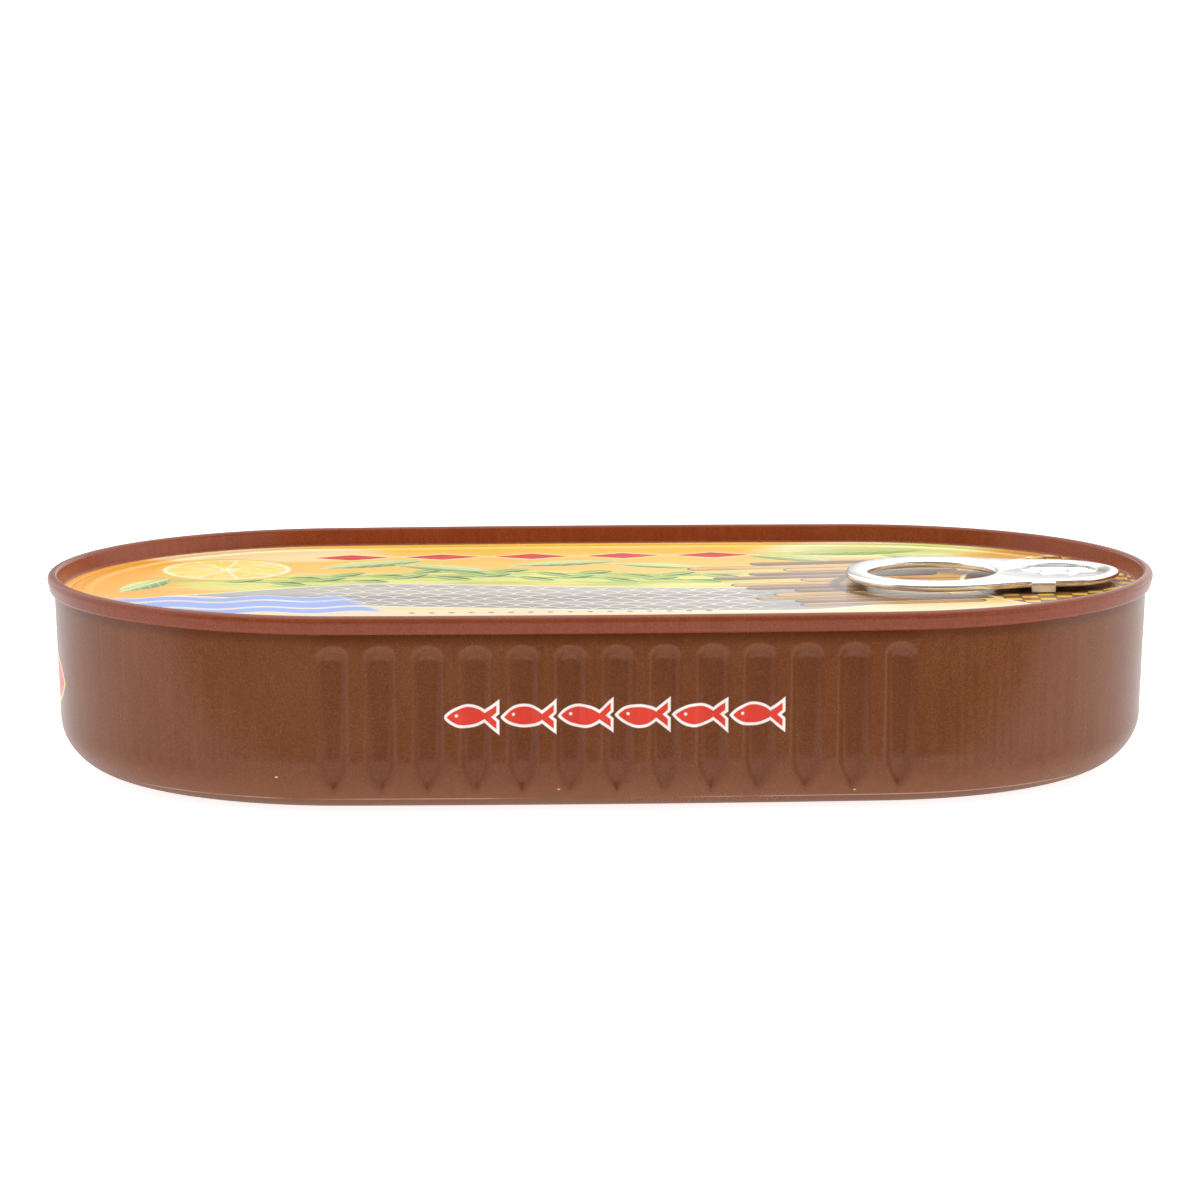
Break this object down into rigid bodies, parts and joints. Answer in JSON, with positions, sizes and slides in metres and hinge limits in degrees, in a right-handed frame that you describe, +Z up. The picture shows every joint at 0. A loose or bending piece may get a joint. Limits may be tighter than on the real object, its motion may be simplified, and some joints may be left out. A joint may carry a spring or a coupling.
{
  "type": "oblong fish tin",
  "caption": "Shut oblong pressed-metal fish tin with rounded ends, fluted long sides, a seamed rim, a printed lid and a ring pull.",
  "frame": {"origin": "middle of the resting plane, under the base", "axes": "+X along the length towards the ring pull, +Y across the width away from the printed side, +Z up"},
  "size_m": [0.148, 0.081, 0.0264],
  "materials": {
    "can_body": "brown lacquer over pressed metal, satin gloss with a fine grain; small red and white print on one long side and a red mark on each end",
    "seam_rim": "brown lacquered rolled rim, satin gloss, with a narrow printed ledge inside it",
    "lid_panel": "glossy printed lid panel in yellow, green, grey and tan fields",
    "rivet": "bright bare metal, smooth",
    "pull_tab": "bright bare metal, smooth"
  },
  "bodies": {
    "root": {"can_body": "can_body", "seam_rim": "seam_rim", "lid_panel": "lid_panel", "rivet": "rivet", "pull_tab": "pull_tab"}
  },
  "joints": []
}
